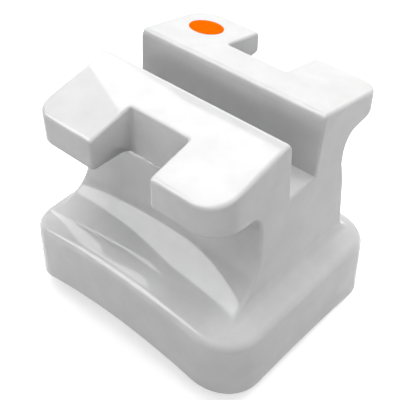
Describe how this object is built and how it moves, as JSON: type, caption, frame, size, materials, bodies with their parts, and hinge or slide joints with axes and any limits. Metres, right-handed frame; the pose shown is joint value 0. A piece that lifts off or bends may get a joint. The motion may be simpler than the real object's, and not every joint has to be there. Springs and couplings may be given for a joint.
{
  "type": "orthodontic bracket",
  "caption": "Orthodontic twin bracket: waisted white ceramic block with notched tie wings over an archwire slot, on a base curved to the tooth, with an orange orientation mark.",
  "frame": {"origin": "under the middle of the whole bracket, level with the lowest point of the base", "axes": "+X along the archwire slot towards the mesial end, +Y across the slot towards the gingival tie wings, +Z away from the tooth"},
  "size_m": [0.0034, 0.0032, 0.0031],
  "materials": {
    "ceramic": "polished, glossy white alumina",
    "marking": "thin orange marking paint"
  },
  "bodies": {
    "root": {"bracket_body": "ceramic", "orientation_dot": "marking"}
  },
  "joints": []
}
